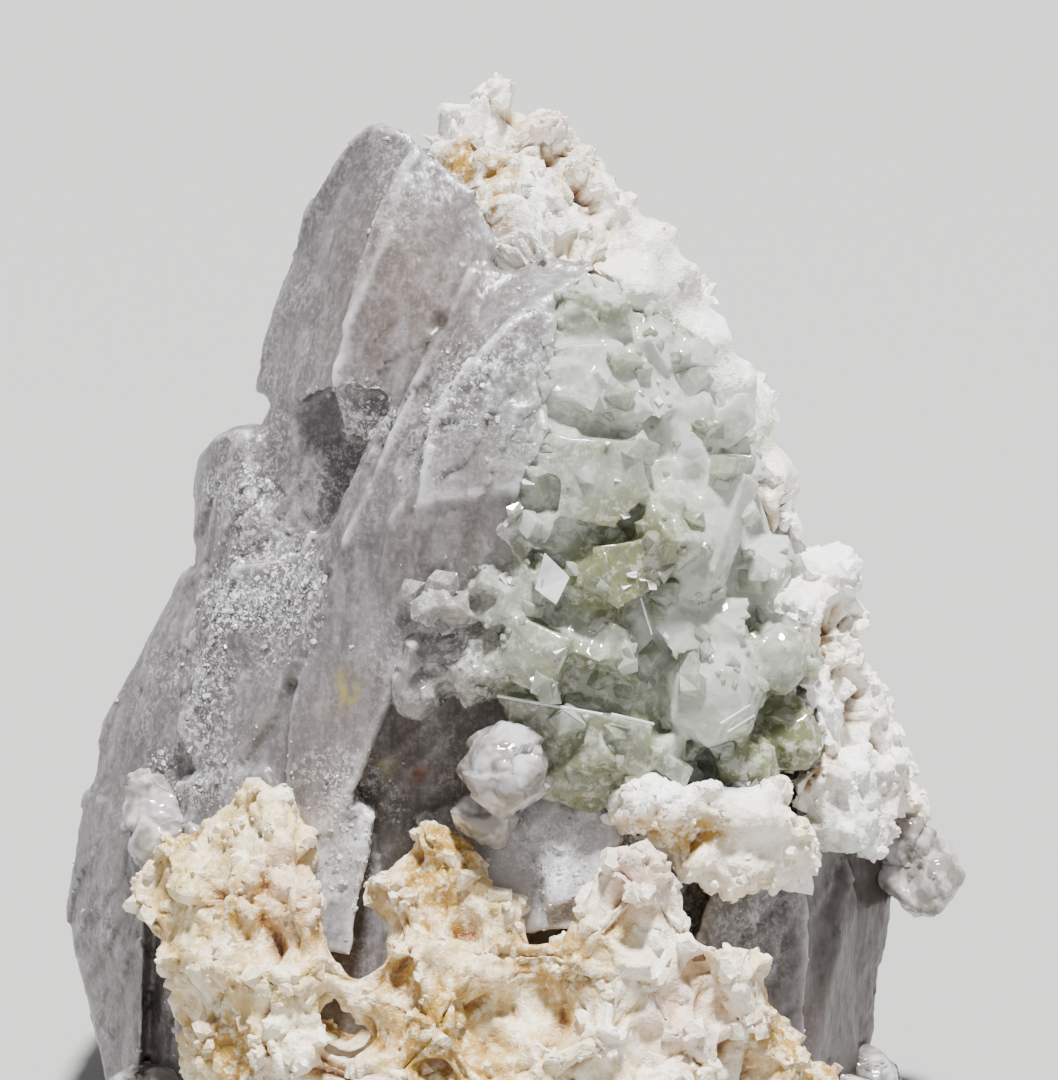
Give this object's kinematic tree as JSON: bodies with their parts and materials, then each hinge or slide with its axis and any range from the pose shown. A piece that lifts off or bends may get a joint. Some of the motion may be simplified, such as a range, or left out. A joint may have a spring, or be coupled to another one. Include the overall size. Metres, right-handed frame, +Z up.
{
  "type": "herderite with elbaite mineral specimen",
  "caption": "Upright mineral specimen: a bladed lilac-grey herderite wedge carrying a pale green elbaite cluster, cream albite crusts and glassy quartz, on a flat foot.",
  "frame": {"origin": "centre of the bounding box's underside, on the flat foot", "axes": "+Z up to the peak, -Y towards the front that carries the elbaite, +X to the right of that front"},
  "size_m": [0.0518, 0.0354, 0.0593],
  "materials": {
    "herderite": "translucent, glassy faces with frosted edges",
    "elbaite": "glassy, pale grey-green, see-through in part",
    "albite": "sugary, cream to white with ochre stain in the hollows",
    "quartz": "milky to clear, wet-looking"
  },
  "bodies": {
    "root": {"herderite_mass": "herderite", "elbaite_cluster": "elbaite", "albite_cap": "albite", "albite_right_crust": "albite", "albite_ledge": "albite", "albite_front_crust": "albite", "quartz_knob": "quartz", "quartz_left_crystals": "quartz", "quartz_right_knob": "quartz", "quartz_foot_left": "quartz", "quartz_foot_right": "quartz"}
  },
  "joints": []
}
